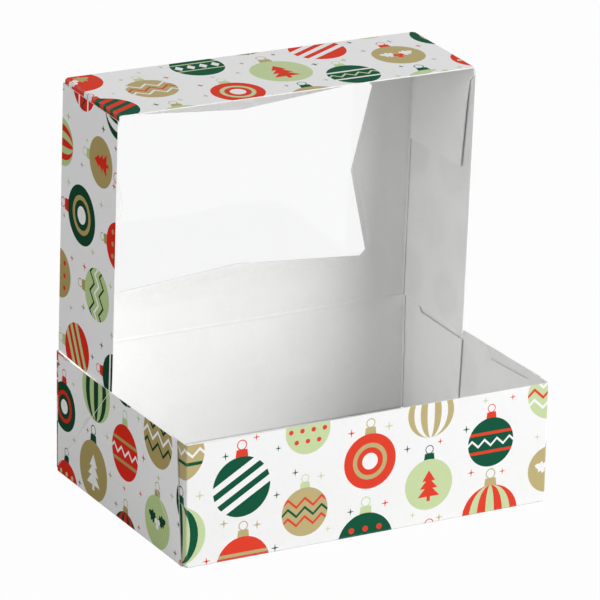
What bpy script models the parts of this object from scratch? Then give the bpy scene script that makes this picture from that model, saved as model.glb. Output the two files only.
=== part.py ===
"""Window bakery box: one folded and glued paperboard blank with a hinged lid and a film window.

Metres, +Z up. The origin is the centre of the underside, +X runs right along the front and +Y
points to the back. The lid stands open, hinged along the top of the back wall.
"""

from math import cos, pi, radians, sin

import bmesh
import bpy
from mathutils import Matrix, Vector

# Outside of the closed base
WIDTH = 0.2032
DEPTH = 0.14605
HEIGHT = 0.0635

# Board, film and glue
BOARD = 0.0005
FILM = 0.0001
GLUE = 0.0001
GAP = 0.0003
FOLD_RADIUS = 0.0008
CORNER_RADIUS = 0.0012

# Base side walls: how far their cut ends stop short of the front and back folds
SIDE_FRONT_LOW = 0.0031
SIDE_FRONT_TOP = 0.0089
SIDE_BACK_LOW = 0.0031
SIDE_BACK_TOP = 0.0042

# Corner flaps of the base: a full-height shoulder, a step down, then a free end
FLAP_FOOT = 0.0012
FLAP_TAPER = 0.0030
STEP_RUN = 0.0032
STEP_DROP = 0.0036
FLAP_FALL = 0.0014
BACK_SHOULDER = 0.0150
BACK_FLAP_LENGTH = 0.0610
BACK_FLAP_SLANT = 0.0040
FRONT_SHOULDER = 0.0160
FLAPS_APART = 0.01805
FRONT_FLAP_SLANT = 0.0110
FRONT_FLAP_ELBOW_DROP = 0.0195
FRONT_FLAP_DRAFT = 0.0050

# Crease that the lid turns on, and the diagonal creases of the side walls
BEAD_RADIUS = 0.0004
CREASE_RADIUS = 0.0008
CREASE_DEPTH = 0.00014

# Lid: shallower than the base by its foot, and clear of it by its clearance when closed
LID_FOOT = 0.0010
LID_CLEARANCE = 0.0005
LID_LEAN = radians(2.3)
LID_HEEL = 0.0010
LID_HEEL_RISE = 0.0022
LID_SIDE_STOP = 0.0026

# Corner flaps of the lid, measured from the panel and from the top fold
LID_FLAP_HEEL = 0.0016
LID_FLAP_LENGTH = 0.0576
LID_FLAP_RISE = 0.0022
LID_FLAP_CHAMFER_RUN = 0.0040
LID_FLAP_CHAMFER_START = 0.0045
LID_FLAP_CHAMFER_END = 0.0083
LID_FLAP_SLANT = 0.0080

# Window in the lid, pinched at the middle of each side, and the board left round it
WINDOW_LOW_MARGIN = 0.0259
WINDOW_TOP_MARGIN = 0.0233
WINDOW_SIDE_MARGIN = 0.0244
PINCH_SIDE = 0.0103
PINCH_END = 0.0062
WINDOW_CHAMFER = 0.0030
FILM_MARGIN = 0.0100

# Patches of glue
GLUE_WIDTH = 0.0060
GLUE_LENGTH = 0.0300
GLUE_FROM_FOLD = 0.0140
GLUE_BELOW_TOP = 0.0240
LID_GLUE_BELOW_FOLD = 0.0120
FILM_GLUE_INNER = 0.0020
FILM_GLUE_WIDTH = 0.0040

# Fineness of the round stretches
BEND_STEPS = 6
ARC_STEPS = 4
BEAD_SIDES = 16

# Places that follow from the sizes above
MID_RADIUS = FOLD_RADIUS - BOARD / 2
BEND_LENGTH = MID_RADIUS * pi / 2
PLY = BOARD + GAP
SIDE_X = WIDTH / 2 - BOARD / 2
FLAP_X = SIDE_X - PLY
LID_SIDE_X = FLAP_X - BOARD - LID_CLEARANCE
LID_FLAP_X = LID_SIDE_X - PLY
WALL_Y = DEPTH / 2 - BOARD / 2
HINGE_Z = HEIGHT + GAP + BOARD / 2
LID_LENGTH = DEPTH - BOARD / 2 - BOARD - LID_CLEARANCE
LID_DEPTH = HEIGHT - LID_FOOT
FLAP_TOP = HEIGHT - STEP_DROP
WINDOW_HALF_WIDTH = LID_SIDE_X + BOARD / 2 - WINDOW_SIDE_MARGIN
WINDOW_HALF_HEIGHT = (LID_LENGTH - WINDOW_LOW_MARGIN - WINDOW_TOP_MARGIN) / 2
WINDOW_CENTRE = WINDOW_LOW_MARGIN + WINDOW_HALF_HEIGHT

X, Y, Z = Vector((1, 0, 0)), Vector((0, 1, 0)), Vector((0, 0, 1))


def clear_scene():
    for obj in list(bpy.data.objects):
        bpy.data.objects.remove(obj)


def new_collection(name, hidden=False):
    collection = bpy.data.collections.new(name)
    collection.hide_render = hidden
    bpy.context.scene.collection.children.link(collection)
    return collection


def new_material(name, colour, roughness, alpha=1.0):
    material = bpy.data.materials.new(name)
    material.use_nodes = True
    shader = material.node_tree.nodes["Principled BSDF"]
    shader.inputs["Base Color"].default_value = (*colour, 1.0)
    shader.inputs["Roughness"].default_value = roughness
    shader.inputs["Metallic"].default_value = 0.0
    shader.inputs["Alpha"].default_value = alpha
    return material


def rounded(corners, radius=CORNER_RADIUS):
    """Points of a closed outline whose corners are turned with small arcs."""
    points = []
    for i, corner in enumerate(corners):
        here = Vector(corner)
        before = (Vector(corners[i - 1]) - here).normalized()
        after = (Vector(corners[(i + 1) % len(corners)]) - here).normalized()
        half_angle = before.angle(after) / 2
        middle = here + (before + after).normalized() * radius / sin(half_angle)
        start = (here + before * radius * cos(half_angle) / sin(half_angle)) - middle
        turn = pi - 2 * half_angle
        if before.x * after.y - before.y * after.x > 0:
            turn = -turn
        for step in range(ARC_STEPS + 1):
            spin = Matrix.Rotation(turn * step / ARC_STEPS, 2)
            points.append(middle + spin @ start)
    return points


def flat_mesh(name, loops, thickness=0.0):
    """A flat sheet, or a plate of this thickness, from closed outlines; inner loops are holes."""
    curve = bpy.data.curves.new(name, "CURVE")
    curve.dimensions = "2D"
    curve.fill_mode = "BOTH"
    curve.extrude = thickness / 2
    for loop in loops:
        spline = curve.splines.new("POLY")
        spline.points.add(len(loop) - 1)
        spline.use_cyclic_u = True
        for point, (u, v) in zip(spline.points, loop):
            point.co = (u, v, 0, 1)
    holder = bpy.data.objects.new(name, curve)
    bpy.context.scene.collection.objects.link(holder)
    graph = bpy.context.evaluated_depsgraph_get()
    mesh = bpy.data.meshes.new_from_object(holder.evaluated_get(graph))
    bpy.data.objects.remove(holder)
    bpy.data.curves.remove(curve)
    shape = bmesh.new()
    shape.from_mesh(mesh)
    bmesh.ops.remove_doubles(shape, verts=shape.verts, dist=GAP / 100)
    if thickness:
        bmesh.ops.recalc_face_normals(shape, faces=shape.faces)
    shape.to_mesh(mesh)
    shape.free()
    mesh.name = name
    return mesh


def bend_root(mesh):
    """Folds a flat sheet up by a right angle: the bend takes the sheet's first stretch."""
    shape = bmesh.new()
    shape.from_mesh(mesh)
    for step in range(1, BEND_STEPS + 1):
        bmesh.ops.bisect_plane(
            shape,
            geom=shape.verts[:] + shape.edges[:] + shape.faces[:],
            dist=GAP / 1000,
            plane_co=Y * BEND_LENGTH * step / BEND_STEPS,
            plane_no=Y,
        )
    for vert in shape.verts:
        turned = min(vert.co.y, BEND_LENGTH) / MID_RADIUS
        beyond = max(vert.co.y - BEND_LENGTH, 0)
        vert.co.y = MID_RADIUS * sin(turned)
        vert.co.z = MID_RADIUS * (1 - cos(turned)) + beyond
    shape.to_mesh(mesh)
    shape.free()


def place(mesh, origin, across, away, parent, material):
    """Stands a mesh at origin, its X along across and its Y along away, in the parent's frame."""
    obj = bpy.data.objects.new(mesh.name, mesh)
    parts.objects.link(obj)
    up = across.cross(away)
    turn = Matrix((across, away, up)).transposed()
    obj.parent = parent
    obj.location = origin
    obj.rotation_euler = turn.to_euler()
    mesh.materials.append(material)
    return obj


def add_thickness(obj):
    solid = obj.modifiers.new("board", "SOLIDIFY")
    solid.thickness = BOARD
    solid.offset = 0
    solid.use_even_offset = True


def folded_panel(name, outline, origin, across, away, parent, material):
    """A panel of board whose first stretch is the bend that joins it to its neighbour."""
    mesh = flat_mesh(name, [outline])
    bend_root(mesh)
    obj = place(mesh, origin, across, away, parent, material)
    add_thickness(obj)
    return obj


def flat_panel(name, loops, origin, across, away, parent, material):
    obj = place(flat_mesh(name, loops), origin, across, away, parent, material)
    add_thickness(obj)
    return obj


def unrolled(distance):
    """Distance along the flat blank, from a distance measured from the outside of the fold."""
    return BEND_LENGTH + distance - FOLD_RADIUS


def make_rod(name, radius, start, end, parent):
    """A helper rod between two points, for a bead to join on or a crease to press in."""
    bpy.ops.mesh.primitive_cylinder_add(
        vertices=BEAD_SIDES, radius=radius, depth=(end - start).length
    )
    rod = bpy.context.object
    rod.name = name
    for collection in list(rod.users_collection):
        collection.objects.unlink(rod)
    cutters.objects.link(rod)
    rod.parent = parent
    rod.location = (start + end) / 2
    rod.rotation_euler = (end - start).to_track_quat("Z", "Y").to_euler()
    rod.hide_render = True
    rod.display_type = "WIRE"
    return rod


def combine(obj, other, operation):
    boolean = obj.modifiers.new(other.name, "BOOLEAN")
    boolean.operation = operation
    boolean.solver = "EXACT"
    boolean.object = other


def make_bottom():
    half_x = WIDTH / 2 - FOLD_RADIUS - GAP
    half_y = DEPTH / 2 - FOLD_RADIUS - GAP
    corners = [(-half_x, -half_y), (half_x, -half_y), (half_x, half_y), (-half_x, half_y)]
    flat_panel("base_bottom", [rounded(corners)], Z * BOARD / 2, X, Y, base, white_board)


def make_front_wall():
    half = FLAP_X + BOARD / 2 - FOLD_RADIUS - GAP
    top = unrolled(HEIGHT)
    corners = [(-half, 0), (half, 0), (half, top), (-half, top)]
    origin = Vector((0, FOLD_RADIUS - DEPTH / 2, BOARD / 2))
    folded_panel("base_front_wall", corners, origin, -X, -Y, base, printed_board)


def make_back_wall():
    """The back wall ends in the bead of the crease that the lid turns on."""
    half = FLAP_X + BOARD / 2 - FOLD_RADIUS - GAP
    top = unrolled(HINGE_Z)
    corners = [(-half, 0), (half, 0), (half, top), (-half, top)]
    origin = Vector((0, DEPTH / 2 - FOLD_RADIUS, BOARD / 2))
    wall = folded_panel("base_back_wall", corners, origin, X, Y, base, printed_board)
    start = Vector((-half, WALL_Y, HINGE_Z))
    end = Vector((half, WALL_Y, HINGE_Z))
    combine(wall, make_rod("hinge_bead", BEAD_RADIUS, start, end, base), "UNION")


def make_side_wall(name, side):
    """Outer side wall: its ends stop short of the corner folds, and two diagonals are creased."""
    front_low, front_top = SIDE_FRONT_LOW - DEPTH / 2, SIDE_FRONT_TOP - DEPTH / 2
    back_low, back_top = DEPTH / 2 - SIDE_BACK_LOW, DEPTH / 2 - SIDE_BACK_TOP
    top = unrolled(HEIGHT)
    corners = [(front_low, 0), (back_low, 0), (back_top, top), (front_top, top)]
    outline = [(-side * y, v) for y, v in corners]
    origin = Vector((side * (WIDTH / 2 - FOLD_RADIUS), 0, BOARD / 2))
    wall = folded_panel(name, outline, origin, -side * Y, side * X, base, printed_board)
    crease_x = side * (WIDTH / 2 + CREASE_RADIUS - CREASE_DEPTH)
    for end, along in (("front", 1), ("back", -1)):
        start = Vector((crease_x, -along * DEPTH / 2, 0))
        reach = HEIGHT + CREASE_RADIUS
        stop = start + Vector((0, along * reach, reach))
        rod = make_rod(name + "_crease_" + end, CREASE_RADIUS, start, stop, base)
        combine(wall, rod, "DIFFERENCE")


def back_flap_outline():
    """(distance from the fold, height) round the flap at a back corner."""
    toe = BACK_FLAP_LENGTH - BACK_FLAP_SLANT
    return [
        (0, FLAP_FOOT),
        (unrolled(toe), FLAP_FOOT + FLAP_TAPER),
        (unrolled(BACK_FLAP_LENGTH), FLAP_TOP - FLAP_FALL),
        (unrolled(BACK_SHOULDER + STEP_RUN), FLAP_TOP),
        (unrolled(BACK_SHOULDER), HEIGHT),
        (0, HEIGHT),
    ]


def front_flap_outline():
    """(distance from the fold, height) round the flap at a front corner."""
    elbow = DEPTH - BACK_FLAP_LENGTH - FLAPS_APART
    return [
        (0, FLAP_FOOT),
        (unrolled(elbow - FRONT_FLAP_DRAFT), FLAP_FOOT + FLAP_TAPER),
        (unrolled(elbow), FLAP_TOP - FLAP_FALL - FRONT_FLAP_ELBOW_DROP),
        (unrolled(elbow - FRONT_FLAP_SLANT), FLAP_TOP - FLAP_FALL),
        (unrolled(FRONT_SHOULDER + STEP_RUN), FLAP_TOP),
        (unrolled(FRONT_SHOULDER), HEIGHT),
        (0, HEIGHT),
    ]


def make_base_flap(name, side, end, corners):
    """A flap that wraps round a corner of the base and runs inside the side wall."""
    across = -side * end * Z
    outline = [(-side * end * height, v) for v, height in corners]
    origin = Vector((side * (FLAP_X + BOARD / 2 - FOLD_RADIUS), end * WALL_Y, 0))
    folded_panel(name, outline, origin, across, side * X, base, printed_board)


def make_glue_patch(name, centre, across, away, length, parent):
    """A thin dried patch of glue between two layers of board."""
    u, v = GLUE_WIDTH / 2, length / 2
    corners = rounded([(-u, -v), (u, -v), (u, v), (-u, v)])
    place(flat_mesh(name, [corners], GLUE), centre, across, away, parent, glue)


def make_base_glue(name, side, end):
    y = end * (DEPTH / 2 - GLUE_FROM_FOLD)
    centre = Vector((side * (SIDE_X + FLAP_X) / 2, y, HEIGHT - GLUE_BELOW_TOP))
    make_glue_patch(name, centre, Y, Z, GLUE_LENGTH, base)


def window_outline(grow=0.0):
    """The pinched window, its corners cut off, grown by this much all round."""
    x, z = WINDOW_HALF_WIDTH + grow, WINDOW_HALF_HEIGHT + grow
    corner = [(x, z - WINDOW_CHAMFER), (x - WINDOW_CHAMFER, z)]
    upper = [(x - PINCH_SIDE, 0), *corner, (0, z - PINCH_END)]
    upper += [(-u, v) for u, v in reversed(corner)]
    lower = [(-u, -v) for u, v in upper]
    return [(u, v + WINDOW_CENTRE) for u, v in upper + lower]


def make_lid_panel():
    half = LID_SIDE_X + BOARD / 2 - FOLD_RADIUS - GAP
    low, top = BEAD_RADIUS + GAP, LID_LENGTH - FOLD_RADIUS - GAP
    corners = rounded([(-half, low), (half, low), (half, top), (-half, top)])
    loops = [corners, window_outline()]
    flat_panel("lid_window_panel", loops, Vector(), X, Z, lid, printed_board)


def make_lid_side(name, side):
    """Outer side wall of the lid: clear of the hinge below and of the top fold above."""
    free = unrolled(LID_DEPTH)
    top = LID_LENGTH - LID_SIDE_STOP
    corners = [(LID_HEEL, 0), (LID_HEEL + LID_HEEL_RISE, free), (top, free), (top, 0)]
    outline = [(-side * z, v) for z, v in corners]
    origin = Vector((side * (LID_SIDE_X + BOARD / 2 - FOLD_RADIUS), 0, 0))
    folded_panel(name, outline, origin, -side * Z, side * X, lid, printed_board)


def make_lid_front():
    half = LID_FLAP_X + BOARD / 2 - FOLD_RADIUS - GAP
    free = unrolled(LID_DEPTH)
    corners = [(-half, 0), (half, 0), (half, free), (-half, free)]
    origin = Vector((0, 0, LID_LENGTH - FOLD_RADIUS))
    folded_panel("lid_front_wall", corners, origin, X, Z, lid, printed_board)


def make_lid_flap(name, side):
    """A flap that wraps round a top corner of the lid and hangs inside its side wall."""
    corners = [
        (LID_FLAP_HEEL, 0),
        (LID_DEPTH, 0),
        (LID_DEPTH, unrolled(LID_FLAP_CHAMFER_START)),
        (LID_DEPTH - LID_FLAP_CHAMFER_RUN, unrolled(LID_FLAP_CHAMFER_END)),
        (LID_DEPTH - LID_FLAP_SLANT, unrolled(LID_FLAP_LENGTH - LID_FLAP_RISE)),
        (LID_FLAP_HEEL, unrolled(LID_FLAP_LENGTH)),
    ]
    outline = [(side * (BOARD / 2 - depth), v) for depth, v in corners]
    fold_x = side * (LID_FLAP_X + BOARD / 2 - FOLD_RADIUS)
    origin = Vector((fold_x, 0, LID_LENGTH - BOARD / 2))
    folded_panel(name, outline, origin, side * Y, side * X, lid, printed_board)


def make_lid_glue(name, side):
    z = LID_LENGTH - LID_GLUE_BELOW_FOLD
    centre = Vector((side * (LID_SIDE_X + LID_FLAP_X) / 2, -LID_DEPTH / 2, z))
    make_glue_patch(name, centre, Z, Y, GLUE_LENGTH, lid)


def make_film():
    """Clear film inside the lid, and the ring of glue that holds it round the window."""
    x, z = WINDOW_HALF_WIDTH + FILM_MARGIN, WINDOW_HALF_HEIGHT + FILM_MARGIN
    low, top = WINDOW_CENTRE - z, WINDOW_CENTRE + z
    sheet = rounded([(-x, low), (x, low), (x, top), (-x, top)])
    film_y = -(BOARD / 2 + GAP + FILM / 2)
    place(flat_mesh("window_film", [sheet], FILM), Y * film_y, X, Z, lid, film)
    outer = window_outline(FILM_GLUE_INNER + FILM_GLUE_WIDTH)
    ring = flat_mesh("film_glue", [outer, window_outline(FILM_GLUE_INNER)], GLUE)
    place(ring, -Y * (BOARD + GAP) / 2, X, Z, lid, glue)


clear_scene()
parts = new_collection("window_bakery_box")
cutters = new_collection("cutters", hidden=True)

printed_board = new_material("printed_board", (0.90, 0.89, 0.87), 0.45)
white_board = new_material("white_board", (0.84, 0.84, 0.83), 0.60)
film = new_material("film", (0.95, 0.96, 0.97), 0.08, alpha=0.25)
glue = new_material("glue", (0.88, 0.86, 0.78), 0.50)

base = bpy.data.objects.new("base", None)
parts.objects.link(base)
lid = bpy.data.objects.new("lid_hinge", None)
parts.objects.link(lid)
lid.location = (0, WALL_Y, HINGE_Z)
lid.rotation_euler = (LID_LEAN, 0, 0)

make_bottom()
make_front_wall()
make_back_wall()
make_lid_panel()
make_lid_front()
make_film()
for side, hand in ((-1, "left"), (1, "right")):
    make_side_wall("base_" + hand + "_wall", side)
    make_base_flap("base_front_" + hand + "_flap", side, -1, front_flap_outline())
    make_base_flap("base_back_" + hand + "_flap", side, 1, back_flap_outline())
    make_base_glue("glue_front_" + hand, side, -1)
    make_base_glue("glue_back_" + hand, side, 1)
    make_lid_side("lid_" + hand + "_wall", side)
    make_lid_flap("lid_" + hand + "_flap", side)
    make_lid_glue("lid_glue_" + hand, side)
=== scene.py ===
import random
from math import cos, pi, radians, sin, sqrt, tau

import bpy
import numpy as np
from mathutils import Matrix, Vector
from mathutils.geometry import delaunay_2d_cdt


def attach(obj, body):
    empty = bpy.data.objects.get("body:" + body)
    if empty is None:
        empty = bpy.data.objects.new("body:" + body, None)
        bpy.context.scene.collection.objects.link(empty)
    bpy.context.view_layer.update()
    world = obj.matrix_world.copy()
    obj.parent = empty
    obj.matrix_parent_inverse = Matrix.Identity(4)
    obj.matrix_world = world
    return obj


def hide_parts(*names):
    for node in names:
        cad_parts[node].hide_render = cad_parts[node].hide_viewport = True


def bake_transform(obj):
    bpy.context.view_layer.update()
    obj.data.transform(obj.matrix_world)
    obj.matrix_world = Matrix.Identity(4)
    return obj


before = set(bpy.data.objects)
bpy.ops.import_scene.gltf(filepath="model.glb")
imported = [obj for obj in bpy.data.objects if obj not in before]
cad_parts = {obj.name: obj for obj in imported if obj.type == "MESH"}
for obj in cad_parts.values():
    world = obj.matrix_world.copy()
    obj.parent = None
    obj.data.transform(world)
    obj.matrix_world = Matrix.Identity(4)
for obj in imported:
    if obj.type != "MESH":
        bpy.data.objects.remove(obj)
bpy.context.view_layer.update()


# Where the box stands: a plain white table in a white room, one large soft light to the right in
# front with two small ones to fill, and the camera to the left in front, above the open lid.

def node_in(tree, kind, **settings):
    node = tree.nodes.new(kind)
    for name, value in settings.items():
        setattr(node, name, value)
    return node


def seen_directly(tree):
    """1 for a ray from the camera, also one mirrored or let through, and 0 for light on things."""
    path = node_in(tree, "ShaderNodeLightPath")
    seen = path.outputs["Is Camera Ray"]
    for kind in ("Is Glossy Ray", "Is Transmission Ray"):
        both = node_in(tree, "ShaderNodeMath", operation="MAXIMUM")
        tree.links.new(seen, both.inputs[0])
        tree.links.new(path.outputs[kind], both.inputs[1])
        seen = both.outputs[0]
    return seen


ROOM_LIGHT = 0.19
WHITE = (1, 1, 1, 1)
TABLE_GREY = (0.58, 0.58, 0.58, 1)
TABLE_LIT = 0.97
TABLE_REACH = 4.0
TABLE_TOP = -0.0001

scene = bpy.context.scene
scene.view_settings.view_transform = "Standard"

world = bpy.data.worlds.new("white_room")
world.use_nodes = True
scene.world = world
tree = world.node_tree
tree.nodes.clear()
walls = node_in(tree, "ShaderNodeBackground")
walls.inputs["Color"].default_value = WHITE
walls.inputs["Strength"].default_value = ROOM_LIGHT
backdrop = node_in(tree, "ShaderNodeBackground")
backdrop.inputs["Color"].default_value = WHITE
backdrop.inputs["Strength"].default_value = 1.0
either = node_in(tree, "ShaderNodeMixShader")
out = node_in(tree, "ShaderNodeOutputWorld")
tree.links.new(seen_directly(tree), either.inputs[0])
tree.links.new(walls.outputs[0], either.inputs[1])
tree.links.new(backdrop.outputs[0], either.inputs[2])
tree.links.new(either.outputs[0], out.inputs["Surface"])

table_mesh = bpy.data.meshes.new("table")
table_corners = [
    (x * TABLE_REACH, y * TABLE_REACH, TABLE_TOP) for x, y in ((-1, -1), (1, -1), (1, 1), (-1, 1))
]
table_mesh.from_pydata(table_corners, [], [(0, 1, 2, 3)])
table = bpy.data.objects.new("table", table_mesh)
scene.collection.objects.link(table)
table_paint = bpy.data.materials.new("white_table")
table_paint.use_nodes = True
tree = table_paint.node_tree
matt = tree.nodes["Principled BSDF"]
matt.inputs["Base Color"].default_value = TABLE_GREY
matt.inputs["Roughness"].default_value = 0.9
matt.inputs["Specular IOR Level"].default_value = 0.1
lit_white = node_in(tree, "ShaderNodeEmission")
lit_white.inputs["Color"].default_value = WHITE
lit_white.inputs["Strength"].default_value = 1.0
share = node_in(tree, "ShaderNodeMath", operation="MULTIPLY")
share.inputs[1].default_value = TABLE_LIT
tree.links.new(seen_directly(tree), share.inputs[0])
either = node_in(tree, "ShaderNodeMixShader")
tree.links.new(share.outputs[0], either.inputs[0])
tree.links.new(matt.outputs[0], either.inputs[1])
tree.links.new(lit_white.outputs[0], either.inputs[2])
tree.links.new(either.outputs[0], tree.nodes["Material Output"].inputs["Surface"])
table_mesh.materials.append(table_paint)


LIT_POINT = (0, 0, 0.09)


def soft_light(name, place, size, watts):
    lamp = bpy.data.lights.new(name, "AREA")
    lamp.shape = "DISK"
    lamp.size = size
    lamp.energy = watts
    holder = bpy.data.objects.new(name, lamp)
    scene.collection.objects.link(holder)
    holder.location = place
    holder.rotation_euler = (Vector(LIT_POINT) - Vector(place)).to_track_quat("-Z", "Y").to_euler()


soft_light("front_light", place=(1.36, -1.46, 0.98), size=2.0, watts=55)
soft_light("left_light", place=(-1.74, -0.66, 0.72), size=0.9, watts=8.4)
soft_light("back_light", place=(-0.60, 1.60, 1.30), size=1.2, watts=13)

FOCAL_LENGTH = 272.69
CAMERA_PLACE = (-1.01568, -1.87811, 0.84737)
CAMERA_TURN = (70.682183, -0.924008, -28.053697)

lens = bpy.data.cameras.new("camera")
lens.sensor_width = 36
lens.lens = FOCAL_LENGTH
camera = bpy.data.objects.new("camera", lens)
scene.collection.objects.link(camera)
camera.location = CAMERA_PLACE
camera.rotation_euler = [radians(angle) for angle in CAMERA_TURN]
scene.camera = camera


# The board: half a millimetre of white carton. Its outer side is coated, printed in four inks
# and varnished, its inner side is bare and slightly duller, and its core shows at the cut edges.

def fibres(tree, fine, rise):
    """Fibre of the board, felt as a fine unevenness of its surface. Returns the bump's normal."""
    place = node_in(tree, "ShaderNodeTexCoord")
    felt = node_in(tree, "ShaderNodeTexNoise")
    felt.inputs["Scale"].default_value = fine
    felt.inputs["Detail"].default_value = 4
    felt.inputs["Distortion"].default_value = 1.5
    tree.links.new(place.outputs["Object"], felt.inputs["Vector"])
    bump = node_in(tree, "ShaderNodeBump")
    bump.inputs["Strength"].default_value = 0.35
    bump.inputs["Distance"].default_value = rise
    tree.links.new(felt.outputs["Fac"], bump.inputs["Height"])
    return bump.outputs["Normal"]


def cloud(tree, size, low, high):
    """Slow uneven patches of this size, as a number between low and high."""
    place = node_in(tree, "ShaderNodeTexCoord")
    patches = node_in(tree, "ShaderNodeTexNoise")
    patches.inputs["Scale"].default_value = 1 / size
    patches.inputs["Detail"].default_value = 3
    spread = node_in(tree, "ShaderNodeMapRange")
    spread.inputs["From Min"].default_value = 0.3
    spread.inputs["From Max"].default_value = 0.7
    spread.inputs["To Min"].default_value = low
    spread.inputs["To Max"].default_value = high
    tree.links.new(place.outputs["Object"], patches.inputs["Vector"])
    tree.links.new(patches.outputs["Fac"], spread.inputs["Value"])
    return spread.outputs["Result"]


def shaded(tree, colour, amount):
    """The colour, darkened or lightened by a number near 1."""
    scaled = node_in(tree, "ShaderNodeVectorMath", operation="SCALE")
    tree.links.new(colour, scaled.inputs[0])
    tree.links.new(amount, scaled.inputs["Scale"])
    return scaled.outputs["Vector"]


def plain_colour(tree, colour):
    held = node_in(tree, "ShaderNodeRGB")
    held.outputs[0].default_value = (*colour, 1)
    return held.outputs[0]


def new_finish(name):
    finish = bpy.data.materials.new(name)
    finish.use_nodes = True
    return finish, finish.node_tree, finish.node_tree.nodes["Principled BSDF"]


CARTON_WHITE = (0.875, 0.875, 0.875)
BACK_WHITE = (0.885, 0.885, 0.880)
CORE_WHITE = (0.90, 0.895, 0.88)
GHOST_SHADE = -0.06
# Painted shade in the valleys of the creases and painted highlight on their beads, on the inner
# board.
VALLEY_SHADE = -0.40

printed_face, tree, shader = new_finish("printed_board")
ink = node_in(tree, "ShaderNodeAttribute", attribute_name="ink")
inked = shaded(tree, ink.outputs["Color"], cloud(tree, size=0.0022, low=0.990, high=1.006))
worn = node_in(tree, "ShaderNodeAttribute", attribute_name="fold")
cracks = node_in(tree, "ShaderNodeMath", operation="MULTIPLY")
tree.links.new(worn.outputs["Fac"], cracks.inputs[0])
tree.links.new(cloud(tree, size=0.0012, low=0.0, high=0.14), cracks.inputs[1])
bared = node_in(tree, "ShaderNodeMix", data_type="RGBA")
tree.links.new(cracks.outputs[0], bared.inputs["Factor"])
tree.links.new(inked, bared.inputs["A"])
bared.inputs["B"].default_value = (*CORE_WHITE, 1)
tree.links.new(bared.outputs["Result"], shader.inputs["Base Color"])
tree.links.new(cloud(tree, size=0.004, low=0.46, high=0.56), shader.inputs["Roughness"])
tree.links.new(fibres(tree, fine=1900, rise=0.00003), shader.inputs["Normal"])
shader.inputs["Specular IOR Level"].default_value = 0.008

bare_face, tree, shader = new_finish("inner_board")
# The print behind shows on the bare side: faint show-through, deepened as painted shade of light
# coming through the board from behind.
through = node_in(tree, "ShaderNodeAttribute", attribute_name="show_through")
veil = node_in(tree, "ShaderNodeMath", operation="MULTIPLY_ADD")
veil.inputs[1].default_value = GHOST_SHADE
veil.inputs[2].default_value = 1.0
tree.links.new(through.outputs["Fac"], veil.inputs[0])
toned = shaded(tree, plain_colour(tree, BACK_WHITE), veil.outputs[0])
# Painted shade and painted highlight along the inside of each crease, kept on the mesh.
pressed = node_in(tree, "ShaderNodeAttribute", attribute_name="painted_crease_shading")
painted_crease_shading = node_in(tree, "ShaderNodeMath", operation="MULTIPLY_ADD")
painted_crease_shading.inputs[1].default_value = VALLEY_SHADE
painted_crease_shading.inputs[2].default_value = 1.0
tree.links.new(pressed.outputs["Fac"], painted_crease_shading.inputs[0])
toned = shaded(tree, toned, painted_crease_shading.outputs[0])
toned = shaded(tree, toned, cloud(tree, size=0.006, low=0.990, high=1.008))
toned = shaded(tree, toned, cloud(tree, size=0.0009, low=0.985, high=1.009))
tree.links.new(toned, shader.inputs["Base Color"])
tree.links.new(cloud(tree, size=0.003, low=0.66, high=0.78), shader.inputs["Roughness"])
tree.links.new(fibres(tree, fine=1300, rise=0.00005), shader.inputs["Normal"])
shader.inputs["Specular IOR Level"].default_value = 0.2

cut_edge, tree, shader = new_finish("cut_edge")
core = shaded(tree, plain_colour(tree, CORE_WHITE), cloud(tree, size=0.0003, low=0.93, high=1.03))
tree.links.new(core, shader.inputs["Base Color"])
tree.links.new(cloud(tree, size=0.0004, low=0.80, high=0.95), shader.inputs["Roughness"])
tree.links.new(fibres(tree, fine=4000, rise=0.00005), shader.inputs["Normal"])
shader.inputs["Specular IOR Level"].default_value = 0.1


# The print: tossed tree baubles hanging by their loops, with small four-pointed twinkles between.
# Each wall has its own run of them, the right way up on the closed box, and its flaps carry it on.
# The back wall and the lid are one stretch of board, so the lid's run goes on down the back wall.

def ink_colour(red, green, blue):
    """Linear colour of an ink, from how it reads on the front wall in the light there."""
    return tuple(((c / 255 + 0.055) / 1.055) ** 2.4 / 1.05 for c in (red, green, blue))


INKS = {
    "bare": CARTON_WHITE,
    "red": ink_colour(228, 69, 50),
    "green": ink_colour(25, 88, 63),
    "pale": ink_colour(202, 219, 168),
    "gold": ink_colour(193, 177, 126),
}
INK_ORDER = ("green", "gold", "red", "pale")
TRIM = {
    "green": (("bare", "pale"), ("red", "bare"), ("gold", "bare")),
    "gold": (("green", "bare"), ("bare", "red"), ("red", "green")),
    "red": (("pale", "bare"), ("bare", "green"), ("gold", "bare")),
    "pale": (("red", "green"), ("green", "bare"), ("bare", "red")),
}
BALL_POINTS = 44
BALL_RADIUS = (0.0122, 0.0160)
ACROSS_STEP = 0.0345
ROW_STEP = 0.0410
LOOP_UP = 1.3
TWINKLE = (0.0018, 0.0027)
TWINKLE_WAIST = 0.23
TWINKLE_TRIES = 60
STRAY = 0.002
CLEAR_OF_BALL = 0.0036
CLEAR_OF_LOOP = 0.0060
CLEAR_OF_TWINKLE = 0.0140
STRIPE_REACH = 1.1
SLANTED_REACH = 1.3
SLANTED_RISE = 0.75
GORE_STEPS = 16
LEAF_STEPS = 8
LEAF_STEM = 0.05
LEAF_SPIKE = 1.25
LEAF_HOLLOW = 0.72


def disc(x, y, radius, points=18):
    return [
        (x + radius * cos(tau * i / points), y + radius * sin(tau * i / points))
        for i in range(points)
    ]


def bar(low, high):
    """A stripe straight across, which the edge of the ball cuts off."""
    reach = STRIPE_REACH
    return [(-reach, low), (reach, low), (reach, high), (-reach, high)]


def zigzag(middle, swing, thick, teeth):
    line = [
        (-STRIPE_REACH + STRIPE_REACH * i / teeth, middle + (swing if i % 2 else -swing))
        for i in range(2 * teeth + 1)
    ]
    return [(x, y + thick / 2) for x, y in line] + [(x, y - thick / 2) for x, y in reversed(line)]


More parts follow.
